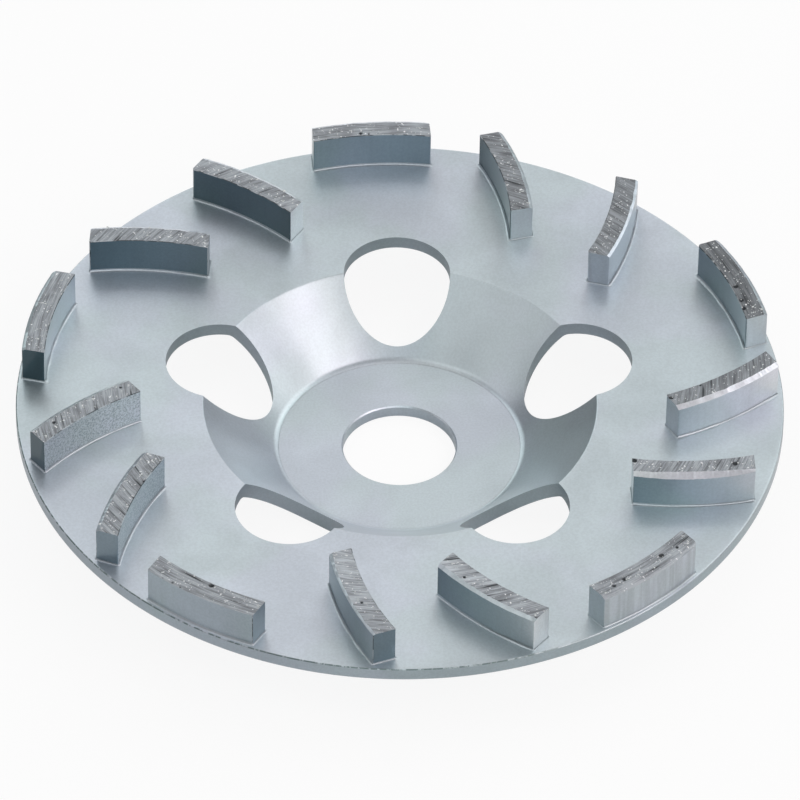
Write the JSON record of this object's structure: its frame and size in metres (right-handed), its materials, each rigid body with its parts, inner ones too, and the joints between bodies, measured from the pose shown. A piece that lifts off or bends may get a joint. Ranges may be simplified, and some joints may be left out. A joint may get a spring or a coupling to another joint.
{
  "type": "diamond cup wheel",
  "caption": "Dished steel grinding cup wheel with a recessed hub, round dust holes, and curved diamond segments brazed on its flat rim.",
  "frame": {"origin": "centre of the bore on the hub's back face, the plane that the wheel stands on", "axes": "+Z along the bore towards the grinding side, with a dust hole centred on +Y"},
  "size_m": [0.15, 0.15, 0.0227],
  "materials": {
    "lacquered_steel": "cool silver lacquer over stamped steel, satin",
    "diamond_segment": "sintered metal bond with diamond grit, ground tops, silver lacquer on the sides",
    "lacquered_braze": "uneven braze bead under silver lacquer"
  },
  "bodies": {
    "root": {"steel_disc": "lacquered_steel", "segment_01": "diamond_segment", "segment_02": "diamond_segment", "segment_03": "diamond_segment", "segment_04": "diamond_segment", "segment_05": "diamond_segment", "segment_06": "diamond_segment", "segment_07": "diamond_segment", "segment_08": "diamond_segment", "segment_09": "diamond_segment", "segment_10": "diamond_segment", "segment_11": "diamond_segment", "segment_12": "diamond_segment", "segment_13": "diamond_segment", "segment_14": "diamond_segment", "segment_15": "diamond_segment", "braze_seam_01": "lacquered_braze", "braze_seam_02": "lacquered_braze", "braze_seam_03": "lacquered_braze", "braze_seam_04": "lacquered_braze", "braze_seam_05": "lacquered_braze", "braze_seam_06": "lacquered_braze", "braze_seam_07": "lacquered_braze", "braze_seam_08": "lacquered_braze", "braze_seam_09": "lacquered_braze", "braze_seam_10": "lacquered_braze", "braze_seam_11": "lacquered_braze", "braze_seam_12": "lacquered_braze", "braze_seam_13": "lacquered_braze", "braze_seam_14": "lacquered_braze", "braze_seam_15": "lacquered_braze"}
  },
  "joints": []
}
